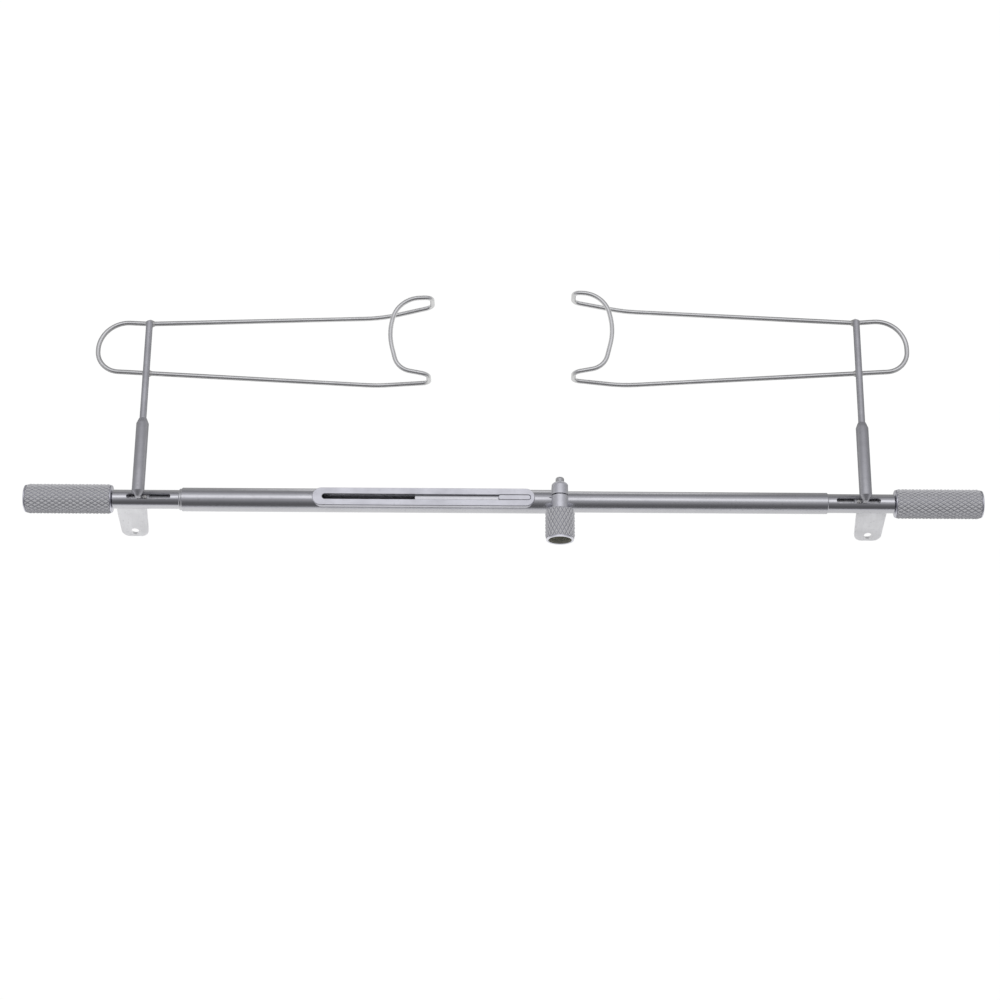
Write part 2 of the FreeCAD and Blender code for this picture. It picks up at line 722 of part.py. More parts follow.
def post_stem(side):
    """The thin upper half of the post, from the socket to the blade's upper arm."""
    name = SIDE_NAMES[side] + "_post_stem"
    start = size("socket_top") - size("stem_grip")
    end = size(SIDE_NAMES[side] + "_arm_top") + size("stem_over")
    chamfer = size("stem_chamfer")
    keep(turned(name, [
        (start, ZERO),
        (start, stem_r),
        (end - chamfer, stem_r),
        (end, stem_r - chamfer),
        (end, ZERO),
    ], (post_place(side) * side, 0, post_z), "+Y"), name)


def rounded_route(corners):
    """Straight runs joined by tangent arcs. Each corner is a point and its bend radius."""
    edges = []
    last = corners[0][0]
    for (before, _), (corner, bend), (after, _) in zip(corners, corners[1:], corners[2:]):
        arriving = (corner - before).normalize()
        leaving = (after - corner).normalize()
        half_turn = arriving.getAngle(leaving) / 2
        setback = bend * math.tan(half_turn)
        inside = (leaving - arriving).normalize()
        start = corner - arriving * setback
        end = corner + leaving * setback
        middle = corner + inside * (bend / math.cos(half_turn) - bend)
        edges.append(Part.LineSegment(last, start).toShape())
        edges.append(Part.Arc(start, middle, end).toShape())
        last = end
    edges.append(Part.LineSegment(last, corners[-1][0]).toShape())
    return Part.Wire(edges)


def line_at(x, x1, y1, x2, y2):
    """The height at x of the line through two points."""
    return y1 + (y2 - y1) * (x - x1) / (x2 - x1)


def blade_corners(side):
    """The corners of one blade's closed loop of wire, from its butt joint behind the post."""
    hand = SIDE_NAMES[side] + "_"

    def at(alias):
        return size(alias).value

    def own(alias):
        return size(hand + alias).value

    low = wire_z.value
    high = low + at("hook_depth")
    post = post_place(side).value
    butt = at("butt_gap") / 2
    loop = post + own("loop_reach")
    tip = post - own("arm_reach")
    knee = tip + at("knee_set")
    crook = tip + own("crook_set")
    low_tip = tip + own("tip_set")
    low_knee = low_tip + own("low_knee_set")
    tip_top = own("tip_top")
    tip_low = own("tip_low")
    middle = (tip_top + tip_low) / 2

    def arm_top(x):
        return line_at(x, post, own("arm_top"), knee, own("knee_top"))

    def arm_low(x):
        return line_at(x, post, own("arm_low"), low_knee, own("knee_low"))

    route = [
        (post - butt, arm_top(post - butt), low, 0),
        (knee, arm_top(knee), low, at("knee_bend")),
        (tip, tip_top, low, at("tip_bend")),
        (tip, tip_top - at("tip_drop"), high, at("tip_bend")),
        (crook - at("crook_top_set"), tip_top - at("crook_top_drop"), high, at("crook_top_bend")),
        (crook, middle, high, at("crook_back_bend")),
        (crook - at("crook_low_set"), tip_low + at("crook_low_rise"), high, at("crook_low_bend")),
        (low_tip + at("lip_set"), tip_low + at("lip_rise"), high, at("lip_bend")),
        (low_tip, tip_low - at("low_tip_drop"), high, at("tip_bend")),
        (low_tip, tip_low, low, at("tip_bend")),
        (low_knee, arm_low(low_knee), low, at("knee_bend")),
        (loop, arm_low(loop), low, at("loop_low_bend")),
        (loop, arm_top(loop) + own("loop_rise"), low, at("loop_top_bend")),
        (post + butt, arm_top(post + butt), low, 0),
    ]
    return [(FreeCAD.Vector(x * side, y, z), bend) for x, y, z, bend in route]


def blade_wire(side):
    """The blade: one round wire bent into two arms, a hooked strand and an outer loop."""
    name = SIDE_NAMES[side] + "_blade_wire"
    corners = blade_corners(side)
    route = rounded_route(corners)
    start = corners[0][0]
    heading = corners[1][0] - start
    ring = Part.Wire([Part.Circle(start, heading, wire_r.value).toShape()])
    solid = route.makePipeShell([ring], True, False)
    wire = doc.addObject("Part::Feature", name)
    wire.Shape = solid
    wire.Placement = FreeCAD.Placement()
    expected = math.pi * wire_r.value ** 2 * route.Length
    print("%s: length %.2f mm, volume %.3f of %.3f mm3" % (name, route.Length, solid.Volume, expected))
    keep(wire, name)


def blade_braze(side, arm, height, neighbours):
    """A fillet of braze, tapering along the blade both ways from where the stem crosses it.

    The two neighbours are the corners of the blade that the wire runs to from there. The fillet
    is one half and its mirror image, which meet where the wire turns a little at the stem."""
    name = "%s_%s_braze" % (SIDE_NAMES[side], arm)
    corners = blade_corners(side)
    post = post_place(side).value * side
    centre = FreeCAD.Vector(post, size("%s_%s" % (SIDE_NAMES[side], height)).value, wire_z.value)
    one_way, other_way = [(corners[neighbour][0] - centre).normalize() for neighbour in neighbours]
    mitre = (one_way - other_way).normalize()
    half_length = size("braze_length").value / 2
    thick = size("braze_d").value / 2
    thin = wire_r.value / 2
    past = half_length * 2
    half = Part.makeCone(thick, thin, half_length, centre, one_way)
    start = Part.makeCylinder(thick, half_length / 2, centre, one_way * -1)
    core = Part.makeCylinder(wire_r.value, past * 2, centre - one_way * past, one_way)
    beyond = Part.makeBox(past, past, past, FreeCAD.Vector(-past / 2, -past / 2, 0))
    beyond.Placement = FreeCAD.Placement(centre, FreeCAD.Rotation(FreeCAD.Vector(0, 0, 1), mitre * -1))
    half = half.fuse(start).cut([core, beyond])
    stem = Part.makeCylinder(stem_r.value, size(SIDE_NAMES[side] + "_arm_top").value * 2,
                             FreeCAD.Vector(post, 0, post_z.value), FreeCAD.Vector(0, 1, 0))
    fillet = half.fuse(half.mirror(centre, mitre)).cut(stem).removeSplitter()
    braze = doc.addObject("Part::Feature", name)
    braze.Shape = max(fillet.Solids, key=lambda solid: solid.Volume)
    braze.Placement = FreeCAD.Placement()
    keep(braze, name)


def clamp_ear(name, side_y):
    """One ear of the split clamp, brazed beside the saw cut; the upper ear has a rounded crown."""
    round_part = turned(name + "_round", [
        (half_split, ZERO),
        (half_split, ear_r),
        (ear_tip, ear_r),
        (ear_tip, ZERO),
    ], (clamp_x, 0, size("clamp_z")), "+Y" if side_y > 0 else "-Y")
    if side_y > 0:
        round_end(round_part, ear_tip, size("ear_crown"))
    depth = tube_r - half_split
    y = half_split if side_y > 0 else -tube_r
    web = box(name + "_web", (clamp_x - ear_r, y, 0), (size("ear_d"), depth, size("clamp_z")))
    solid = fuse(name + "_solid", [round_part, web])
    saddle = cylinder(name + "_saddle", (tube_r + size("joint_gap")) * 2, size("ear_d") + 2,
                      (clamp_x - ear_r - 1, 0, 0), "+X")
    hole = cylinder(name + "_hole", screw_hole_r * 2, ear_tip * 2 + 2,
                    (clamp_x, -ear_tip - 1, size("clamp_z")), "+Y")
    keep(cut(name + "_cut", solid, [saddle, hole]), name)


def clamp_washer():
    """The thrust washer between the lower ear and the barrel."""
    keep(turned("clamp_washer", [
        (ear_tip + size("joint_gap"), screw_hole_r),
        (ear_tip + size("joint_gap"), ear_r),
        (washer_face, ear_r),
        (washer_face, screw_hole_r),
    ], (clamp_x, 0, size("clamp_z")), "-Y"), "clamp_washer")


def clamp_screw():
    """The clamp screw, from its riveted head in the barrel to the stud past the upper ear."""
    rivet_face = barrel_face + size("barrel_floor") + size("joint_gap")
    rivet_end = rivet_face + size("rivet_height")
    tip = -ear_tip - size("stud_length")
    screw = turned("clamp_screw", [
        (tip, ZERO),
        (tip, screw_r),
        (rivet_face, screw_r),
        (rivet_face, size("rivet_d") / 2),
        (rivet_end, size("rivet_d") / 2),
        (rivet_end, ZERO),
    ], (clamp_x, 0, size("clamp_z")), "-Y")
    round_end(screw, tip, size("stud_round"))
    keep(screw, "clamp_screw")


def clamp_barrel():
    """The knurled barrel: closed round the screw and open at its free end."""
    radius = size("barrel_d") / 2
    chamfer = size("barrel_chamfer")
    bore = size("barrel_bore_d") / 2
    hole = screw_r + size("joint_gap")
    end = barrel_face + size("barrel_length")
    keep(turned("clamp_barrel", [
        (barrel_face, hole),
        (barrel_face, radius - chamfer),
        (barrel_face + chamfer, radius),
        (end - chamfer, radius),
        (end, radius - chamfer),
        (end, bore),
        (barrel_face + size("barrel_floor"), bore),
        (barrel_face + size("barrel_floor"), hole),
    ], (clamp_x, 0, size("clamp_z")), "-Y"), "clamp_barrel")


outer_tube()
guide_strip()
end_bush()
inner_tube()
guide_key()
clamp_ear("upper_clamp_ear", 1)
clamp_ear("lower_clamp_ear", -1)
clamp_washer()
clamp_screw()
clamp_barrel()
for hand_side in (LEFT, RIGHT):
    slotted_rod(hand_side)
    screw_bush(hand_side)
    side_tab(hand_side)
    knob(hand_side)
    lead_screw(hand_side)
    travel_nut(hand_side)
    guide_pin(hand_side)
    post_socket(hand_side)
    post_stem(hand_side)
    blade_wire(hand_side)
    blade_braze(hand_side, "upper", "arm_top", (1, 12))
    blade_braze(hand_side, "lower", "arm_low", (10, 11))

doc.recompute()
for thing in doc.Objects:
    if "Invalid" in thing.State or "Error" in thing.State:
        raise RuntimeError("%s failed: %s" % (thing.Name, thing.State))
for piece in pieces:
    if piece.Shape.isNull() or not piece.Shape.isValid() or not piece.Shape.Solids:
        raise RuntimeError("%s has no valid solid" % piece.Label)

os.makedirs("parts", exist_ok=True)
for piece in pieces:
    piece.Shape.exportStep("parts/%s.step" % piece.Label)
    bounds = piece.Shape.BoundBox
    print("%-22s solids %d  volume %8.3f  x %7.2f..%7.2f  y %6.2f..%6.2f  z %6.2f..%6.2f" % (
        piece.Label, len(piece.Shape.Solids), piece.Shape.Volume,
        bounds.XMin, bounds.XMax, bounds.YMin, bounds.YMax, bounds.ZMin, bounds.ZMax))
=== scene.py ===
"""Eye speculum in satin steel: smooth bar, knurled knobs and barrel, wire blades, on a white table."""
import bpy
import bmesh
import json
import math
from mathutils import Matrix, Quaternion, Vector
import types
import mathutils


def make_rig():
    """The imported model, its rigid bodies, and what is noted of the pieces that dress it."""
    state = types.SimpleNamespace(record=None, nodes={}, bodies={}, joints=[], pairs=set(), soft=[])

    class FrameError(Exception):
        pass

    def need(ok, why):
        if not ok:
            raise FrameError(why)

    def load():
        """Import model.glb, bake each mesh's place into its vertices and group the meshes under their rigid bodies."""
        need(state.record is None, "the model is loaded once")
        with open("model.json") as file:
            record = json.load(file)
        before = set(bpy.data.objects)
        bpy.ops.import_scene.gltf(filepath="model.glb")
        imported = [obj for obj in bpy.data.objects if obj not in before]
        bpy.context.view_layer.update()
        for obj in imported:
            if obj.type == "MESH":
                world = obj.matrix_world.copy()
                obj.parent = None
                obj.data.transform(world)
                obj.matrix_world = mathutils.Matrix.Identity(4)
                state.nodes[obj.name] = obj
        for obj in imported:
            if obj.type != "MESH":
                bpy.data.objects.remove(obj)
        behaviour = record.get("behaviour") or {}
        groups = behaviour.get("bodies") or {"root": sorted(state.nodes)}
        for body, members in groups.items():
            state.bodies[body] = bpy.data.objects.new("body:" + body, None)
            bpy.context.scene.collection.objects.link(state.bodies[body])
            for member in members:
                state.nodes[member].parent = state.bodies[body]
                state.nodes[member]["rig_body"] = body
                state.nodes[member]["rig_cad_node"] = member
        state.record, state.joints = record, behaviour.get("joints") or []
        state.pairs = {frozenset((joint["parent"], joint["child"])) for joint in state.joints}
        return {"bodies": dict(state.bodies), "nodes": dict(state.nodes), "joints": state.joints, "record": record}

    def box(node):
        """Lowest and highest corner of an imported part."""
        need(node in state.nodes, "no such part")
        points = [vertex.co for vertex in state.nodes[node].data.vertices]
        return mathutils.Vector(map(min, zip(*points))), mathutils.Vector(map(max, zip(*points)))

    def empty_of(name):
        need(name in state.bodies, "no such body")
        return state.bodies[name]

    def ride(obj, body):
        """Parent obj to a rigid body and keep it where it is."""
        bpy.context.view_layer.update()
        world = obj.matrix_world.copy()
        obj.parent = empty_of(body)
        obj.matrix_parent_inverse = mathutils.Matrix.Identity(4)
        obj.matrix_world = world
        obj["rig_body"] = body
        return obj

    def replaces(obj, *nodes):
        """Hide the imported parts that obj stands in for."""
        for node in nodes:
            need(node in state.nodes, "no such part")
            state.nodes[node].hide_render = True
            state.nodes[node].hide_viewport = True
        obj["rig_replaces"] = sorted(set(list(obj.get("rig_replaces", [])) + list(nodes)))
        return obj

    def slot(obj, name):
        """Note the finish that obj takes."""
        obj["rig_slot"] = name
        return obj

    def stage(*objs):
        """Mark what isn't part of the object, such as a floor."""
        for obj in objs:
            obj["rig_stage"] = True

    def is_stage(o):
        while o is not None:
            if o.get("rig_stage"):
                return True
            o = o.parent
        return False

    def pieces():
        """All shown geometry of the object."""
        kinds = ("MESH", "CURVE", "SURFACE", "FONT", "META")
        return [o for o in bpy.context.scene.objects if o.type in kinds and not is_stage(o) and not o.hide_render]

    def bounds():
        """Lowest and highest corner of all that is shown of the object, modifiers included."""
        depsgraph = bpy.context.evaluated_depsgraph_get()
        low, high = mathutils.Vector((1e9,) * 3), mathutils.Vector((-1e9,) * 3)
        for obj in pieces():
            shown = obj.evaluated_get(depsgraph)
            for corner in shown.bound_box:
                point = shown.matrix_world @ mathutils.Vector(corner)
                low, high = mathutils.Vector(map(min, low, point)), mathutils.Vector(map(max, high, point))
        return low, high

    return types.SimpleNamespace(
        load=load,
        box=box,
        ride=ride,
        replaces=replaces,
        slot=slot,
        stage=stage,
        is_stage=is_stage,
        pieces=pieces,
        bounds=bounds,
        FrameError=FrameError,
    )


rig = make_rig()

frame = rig.load()
cad_low, cad_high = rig.bounds()

MM = 0.001

# Points nearer to each other than this, in metres, count as one
NEAR = 1e-7

# The photograph's view: from above, tipped towards the barrel's open end
VIEW_TILT = math.radians(20.0)
VIEW_ROLL = math.radians(0.36)
VIEW_DISTANCE = 339 * MM
PIXELS_PER_MM = 6.25
SENSOR_WIDTH = 36.0
FRAME_PIXELS = 1000.0
ORIGIN_PIXEL = (503.5, 501.5)
NEAREST_SEEN = 10 * MM
FARTHEST_SEEN = 10000 * MM

# Knurl, cut by one tool on the knobs and the barrel: diamonds along it and around it, and their slopes
KNURL_AXIAL_PITCH = 1.13 * MM
KNURL_COUNT = 21
KNURL_DEPTH = 0.21 * MM
KNURL_FLANK = 0.250 * MM

# How low its half diamonds at the ends are, how far its core stands up into it, and its ends' thickness
KNURL_END_SHARE = 0.6
KNURL_BURIED = 0.035 * MM
KNURL_WALL = 0.10 * MM
CORE_SIDES = 72

# A steel finish: what dulls it, how strong and how dark its specks are, and how much its grain is felt
GRAIN_SHARE = 0.35
WIPE_SHARE = 0.65
SPECK_STRENGTH = 0.3
SPECK_SHADE = 0.55
RELIEF_STRENGTH = 0.5

# Tones of the surroundings, as (angle from behind over the top towards the front, brightness)
WALL_TONES = ((-180, 0.80), (-100, 0.50), (-20, 0.30), (12, 0.25), (34, 0.32), (56, 0.66), (76, 0.90),
              (96, 0.62), (116, 0.28), (140, 0.13), (168, 0.12), (180, 0.30))
SIDE_FADE = (0.48, 0.88)
SIDE_TONE = 0.50
COOL = 1.05
WHITE = (1, 1, 1, 1)

# The table's brightness to the camera, and its painted reflections: bright before the bar, dark behind it, a bright
# patch under the hooks, and brighter at the left end than at the right
TABLE_SEEN = 1.066
TABLE_GLOW = 0.93
TABLE_NEAR = 0.95
TABLE_FAR = 0.42
TABLE_FADE = (-2 * MM, 6 * MM)
HOOK_PATCH_NEAR = (8 * MM, 16 * MM)
HOOK_PATCH_FAR = (50 * MM, 80 * MM)
HOOK_PATCH_SIDE = (32 * MM, 48 * MM)
TABLE_ENDS = 70 * MM
TABLE_LEFT_TONE = 1.05
TABLE_RIGHT_TONE = 0.88

# The table itself, a hair below what rests on it
TABLE_SIZE = 3000 * MM
TABLE_GAP = 0.02 * MM
TABLE_PAINT = (0.82, 0.82, 0.82, 1)

LEFT = -1
RIGHT = 1
SIDES = (("left", LEFT), ("right", RIGHT))


def select_only(*things):
    """Deselect everything, then select these and make the first one active."""
    bpy.ops.object.select_all(action="DESELECT")
    for thing in things:
        thing.select_set(True)
    bpy.context.view_layer.objects.active = things[0]


def edit_elements(thing, kind, chosen):
    """In edit mode, select the faces or edges that a test chooses."""
    mesh = bmesh.from_edit_mesh(thing.data)
    bpy.ops.mesh.select_all(action="DESELECT")
    bpy.ops.mesh.select_mode(type={"edges": "EDGE", "faces": "FACE"}[kind])
    for element in getattr(mesh, kind):
        if chosen(element):
            element.select_set(True)
    mesh.select_flush_mode()
    bmesh.update_edit_mesh(thing.data)


def face_height(face):
    """How far a face's middle lies along +Z."""
    return face.calc_center_median().z


def face_radius(face):
    """How far a face's middle lies from the Z axis."""
    return face.calc_center_median().xy.length


def settle(thing):
    """Put the object's place into its mesh, so that the object sits at the origin."""
    select_only(thing)
    bpy.ops.object.transform_apply(location=True, rotation=True, scale=True)


def smooth(thing, degrees):
    """Smooth shading, kept sharp at real corners."""
    select_only(thing)
    bpy.ops.object.shade_smooth_by_angle(angle=math.radians(degrees))


# Node helpers

def node_tools(tree):
    """Short calls that add and wire nodes in one tree."""
    def add(kind, **values):
        node = tree.nodes.new(kind)
        for name, value in values.items():
            setattr(node, name, value)
        return node

    def link(source, target):
        tree.links.new(source, target)

    return add, link


def new_material(name):
    """An empty node material, with the calls that add and wire its nodes."""
    material = bpy.data.materials.new(name)
    material.use_nodes = True
    material.node_tree.nodes.clear()
    add, link = node_tools(material.node_tree)
    return material, add, link


def new_group(name, inputs, outputs):
    """A shader node group with named number and vector sockets."""
    tree = bpy.data.node_groups.new(name, "ShaderNodeTree")
    kinds = {"vector": "NodeSocketVector", "number": "NodeSocketFloat"}
    for socket, kind, value in inputs:
        made = tree.interface.new_socket(name=socket, in_out="INPUT", socket_type=kinds[kind])
        if value is not None:
            made.default_value = value
    for socket, kind in outputs:
        tree.interface.new_socket(name=socket, in_out="OUTPUT", socket_type=kinds[kind])
    add, link = node_tools(tree)
    return tree, add, link, add("NodeGroupInput").outputs, add("NodeGroupOutput").inputs


def math_node(add, link, operation, first, second=0.0):
    """A math node fed by sockets or plain numbers."""
    node = add("ShaderNodeMath", operation=operation)
    for socket, value in zip(node.inputs, (first, second)):
        if isinstance(value, (int, float)):
            socket.default_value = value
        else:
            link(value, socket)
    return node.outputs[0]


def noise(add, link, vector, scale, detail, roughness=0.55):
    """A noise texture on a vector, at a scale per metre that comes from a socket."""
    node = add("ShaderNodeTexNoise")
    link(vector, node.inputs["Vector"])
    link(scale, node.inputs["Scale"])
    node.inputs["Detail"].default_value = detail
    node.inputs["Roughness"].default_value = roughness
    return node.outputs["Fac"]


def remap(add, link, value, low, high, new_low, new_high):
    """A clamped change of range."""
    node = add("ShaderNodeMapRange")
    link(value, node.inputs["Value"])
    for name, number in (("From Min", low), ("From Max", high), ("To Min", new_low), ("To Max", new_high)):
        node.inputs[name].default_value = number
    return node.outputs["Result"]


def make_grain_group():
    """Satin finish: fine lines stretched along one direction, with broader ones among them."""
    tree, add, link, given, result = new_group(
        "satin grain",
        [("Vector", "vector", None), ("Lines", "number", 9000.0)],
        [("Height", "number"), ("Mask", "number")])
    fine_share = 0.6
    broad_share = 0.4
    broad_to_fine = 0.22
    contrast = (0.35, 0.65)
    broad_lines = math_node(add, link, "MULTIPLY", given["Lines"], broad_to_fine)
    fine = noise(add, link, given["Vector"], given["Lines"], detail=3.0)
    broad = noise(add, link, given["Vector"], broad_lines, detail=2.0)
    both = math_node(add, link, "ADD",
                     math_node(add, link, "MULTIPLY", fine, fine_share),
                     math_node(add, link, "MULTIPLY", broad, broad_share))
    link(both, result["Height"])
    link(remap(add, link, both, *contrast, 0.0, 1.0), result["Mask"])
    return tree


def make_handling_group():
    """Handling marks: soft cloudy wipe marks, and small specks, as masks from 0 to 1."""
    tree, add, link, given, result = new_group(
        "handling marks",
        [("Vector", "vector", None), ("Size", "number", 260.0)],
        [("Clouds", "number"), ("Specks", "number")])
    cloud_contrast = (0.38, 0.66)
    speck_contrast = (0.62, 0.74)
    specks_to_clouds = 9.0
    clouds = noise(add, link, given["Vector"], given["Size"], detail=4.0, roughness=0.6)
    link(remap(add, link, clouds, *cloud_contrast, 0.0, 1.0), result["Clouds"])
    speck_size = math_node(add, link, "MULTIPLY", given["Size"], specks_to_clouds)
    specks = noise(add, link, given["Vector"], speck_size, detail=2.0)
    link(remap(add, link, specks, *speck_contrast, 0.0, 1.0), result["Specks"])
    return tree


GRAIN = make_grain_group()
HANDLING = make_handling_group()


def steel(name, tint, roughness, stretch, lines=9000, relief=0.002 * MM, shade=0.86,
          roughness_change=0.08):
    """A steel finish: tinted metal, grain stretched along the piece, and handling marks."""
    material, add, link = new_material(name)

    def toned(tone):
        return (*[channel * tone for channel in tint], 1)

    place = add("ShaderNodeTexCoord").outputs["Object"]
    mapping = add("ShaderNodeMapping")
    link(place, mapping.inputs["Vector"])
    mapping.inputs["Scale"].default_value = stretch
    grain = add("ShaderNodeGroup", node_tree=GRAIN)
    link(mapping.outputs["Vector"], grain.inputs["Vector"])
    grain.inputs["Lines"].default_value = lines
    marks = add("ShaderNodeGroup", node_tree=HANDLING)
    link(place, marks.inputs["Vector"])
    dull = math_node(add, link, "ADD",
                     math_node(add, link, "MULTIPLY", grain.outputs["Mask"], GRAIN_SHARE),
                     math_node(add, link, "MULTIPLY", marks.outputs["Clouds"], WIPE_SHARE))

    clouded = add("ShaderNodeMix", data_type="RGBA")
    link(dull, clouded.inputs["Factor"])
    clouded.inputs["A"].default_value = toned(1)
    clouded.inputs["B"].default_value = toned(shade)
    speckled = add("ShaderNodeMix", data_type="RGBA")
    specks = math_node(add, link, "MULTIPLY", marks.outputs["Specks"], SPECK_STRENGTH)
    link(specks, speckled.inputs["Factor"])
    link(clouded.outputs["Result"], speckled.inputs["A"])
    speckled.inputs["B"].default_value = toned(SPECK_SHADE)
    duller = math_node(add, link, "MULTIPLY", dull, roughness_change)
    bump = add("ShaderNodeBump")
    bump.inputs["Strength"].default_value = RELIEF_STRENGTH
    bump.inputs["Distance"].default_value = relief
    link(grain.outputs["Height"], bump.inputs["Height"])

    metal = add("ShaderNodeBsdfPrincipled")
    metal.inputs["Metallic"].default_value = 1.0
    link(speckled.outputs["Result"], metal.inputs["Base Color"])
    link(math_node(add, link, "ADD", duller, roughness), metal.inputs["Roughness"])
    link(bump.outputs["Normal"], metal.inputs["Normal"])
    link(metal.outputs["BSDF"], add("ShaderNodeOutputMaterial").inputs["Surface"])
    return material


# Each finish as tint, roughness and stretch, where a small stretch makes long grain lines that way

BAR_TINT = (0.62, 0.62, 0.645)
BAR_STEEL = steel("drawn bar steel", BAR_TINT, 0.22, (0.05, 1, 1),
                  relief=0.0004 * MM, shade=0.93, roughness_change=0.04)
SLIDE_STEEL = steel("polished rod steel", BAR_TINT, 0.13, (0.05, 1, 1),
                    relief=0.0004 * MM, shade=0.93, roughness_change=0.04)
STRIP_STEEL = steel("milled strip steel", (0.70, 0.70, 0.745), 0.34, (0.08, 1, 1),
                    lines=7000, relief=0.001 * MM)
BUSH_STEEL = steel("turned bush steel", (0.66, 0.66, 0.68), 0.26, (1, 0.06, 0.06), relief=0.0006 * MM)
POST_STEEL = steel("turned post steel", (0.55, 0.55, 0.575), 0.42, (0.2, 1, 0.2), relief=0.001 * MM)
WIRE_STEEL = steel("polished blade wire", (0.74, 0.74, 0.735), 0.26, (0.25, 0.6, 0.6),
                   lines=6000, relief=0.0008 * MM)
BRAZE_SILVER = steel("silver braze", (0.74, 0.73, 0.71), 0.24, (1, 1, 1), lines=2500, relief=0.02 * MM)
TAB_STEEL = steel("satin tab sheet", (0.93, 0.93, 0.94), 0.40, (1, 0.1, 0.1), lines=7000, relief=0.001 * MM)
KNURL_STEEL = steel("knurled steel", (0.84, 0.84, 0.90), 0.26, (1, 1, 1), lines=4000)
CLAMP_STEEL = steel("filed clamp steel", (0.74, 0.74, 0.78), 0.36, (0.08, 1, 1), lines=6000)
SCREW_STEEL = steel("turned screw steel", (0.60, 0.60, 0.61), 0.34, (0.1, 1, 0.1), lines=6000)
# Painted light: a brighter tint lightens the lead screws and nuts seen down in the slots
LIGHTENED_NUT_STEEL = steel("dull nut steel with painted light", (0.86, 0.86, 0.88), 0.62, (1, 0.2, 0.2), lines=6000)
# Painted shade: a darker, rougher steel for the core seen between the knurl's diamonds
VALLEY_SHADE_STEEL = steel("dull knurl valleys with painted shade", (0.46, 0.46, 0.50), 0.60, (1, 1, 1), lines=5000)
# Painted shade: a darker, yellowish steel than the knurl's, for the inside of the barrel's bore
BORE_SHADE_STEEL = steel("dull bored steel with painted shade", (0.66, 0.66, 0.59), 0.55, (1, 1, 1), lines=5000)


# Pieces carried over from the frame, merged and smoothed

def polished(node, material, slot, degrees=32):
    """A merged, smoothly shaded copy of one rigid piece, in its finish."""
    source = frame["nodes"][node]
    piece = source.copy()
    piece.data = source.data.copy()
    piece.name = node + "_finished"
    notes = [key for key in piece.keys() if key.startswith("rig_")]
    for note in notes:
        del piece[note]
    bpy.context.scene.collection.objects.link(piece)
    piece.parent = None
    select_only(piece)
    bpy.ops.object.mode_set(mode="EDIT")
    bpy.ops.mesh.select_all(action="SELECT")
    bpy.ops.mesh.remove_doubles(threshold=NEAR)
    bpy.ops.object.mode_set(mode="OBJECT")

    # The frame's own normals would show as stripes along the tubes
    if piece.data.has_custom_normals:
        bpy.ops.mesh.customdata_custom_splitnormals_clear()
    smooth(piece, degrees)
    piece.data.materials.clear()
    piece.data.materials.append(material)
    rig.replaces(piece, node)
    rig.slot(piece, slot)
    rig.ride(piece, body_name(node))


def body_name(node):
    """The moving body that a node belongs to."""
    for name, members in frame["record"]["behaviour"]["bodies"].items():
        if node in members:
            return name


# Knurled pieces, made along +Z from the origin and then stood on their axes

# Where a core's list of finishes has the dull ones, after the knurl's own: painted shade in the knurl's valleys and in
# the bore
VALLEY_SHADE_SLOT = 1
BORE_SHADE_SLOT = 2


def knurled_sleeve(name, radius, length):
    """A tube of diamond points, cut flat at both ends."""
    floor = radius - KNURL_DEPTH
    rings = round(length / KNURL_AXIAL_PITCH)
    bpy.ops.object.select_all(action="DESELECT")
    bpy.ops.mesh.primitive_cylinder_add(vertices=KNURL_COUNT, radius=floor, depth=length,
                                        end_fill_type="NOTHING", location=(0, 0, length / 2))
    sleeve = bpy.context.object
    sleeve.name = name
    settle(sleeve)
    bpy.ops.object.mode_set(mode="EDIT")
    edit_elements(sleeve, "edges", lambda edge: abs(edge.verts[0].co.z - edge.verts[1].co.z) > length / 2)
    bpy.ops.mesh.subdivide(number_cuts=rings - 1)

    # A middle point in each square, and then the squares' own sides go, which leaves diamonds
    corners = len(bmesh.from_edit_mesh(sleeve.data).verts)
    bow = floor * (1 - math.cos(math.pi / KNURL_COUNT))
    bpy.ops.mesh.select_all(action="SELECT")
    bpy.ops.mesh.poke(offset=bow, use_relative_offset=False)
    edit_elements(sleeve, "edges",
                  lambda edge: not edge.is_boundary and max(vert.index for vert in edge.verts) < corners)
    bpy.ops.mesh.dissolve_edges(use_verts=False)

    # Each diamond, and each half diamond at the ends, rises to its point
    for corner_count, share in ((4, 1.0), (3, KNURL_END_SHARE)):
        edit_elements(sleeve, "faces", lambda face: len(face.verts) == corner_count)
        bpy.ops.mesh.inset(thickness=KNURL_FLANK * share, depth=KNURL_DEPTH * share,
                           use_individual=True, use_boundary=True)

    # The two ends are capped, inset and bridged, so that the sleeve is a closed tube
    edit_elements(sleeve, "edges", lambda edge: edge.is_boundary)
    bpy.ops.mesh.edge_face_add()
    edit_elements(sleeve, "faces", lambda face: len(face.verts) == KNURL_COUNT)
    bpy.ops.mesh.inset(thickness=KNURL_WALL, depth=0)
    bpy.ops.mesh.bridge_edge_loops()
    bpy.ops.mesh.select_all(action="SELECT")
    bpy.ops.mesh.normals_make_consistent(inside=False)
    bpy.ops.object.mode_set(mode="OBJECT")
    return sleeve


def core_blank(name, radius, length, materials):
    """A closed round blank, left in edit mode."""
    bpy.ops.object.select_all(action="DESELECT")
    bpy.ops.mesh.primitive_cylinder_add(vertices=CORE_SIDES, radius=radius, depth=length,
                                        end_fill_type="NGON", location=(0, 0, length / 2))
    core = bpy.context.object
    core.name = name
    for material in materials:
        core.data.materials.append(material)
    settle(core)
    bpy.ops.object.mode_set(mode="EDIT")
    return core


def sink_end(core, at, toward, steps):
    """Step an end face in and along: each step is (inset, travel along +Z)."""
    edit_elements(core, "faces",
                  lambda face: face.normal.z * toward > 0.9 and abs(face_height(face) - at) < NEAR)
    for inset, travel in steps:
        if inset:
            bpy.ops.mesh.inset(thickness=inset, depth=0)
        if travel:
            bpy.ops.mesh.extrude_region_move(TRANSFORM_OT_translate={"value": (0, 0, travel)})


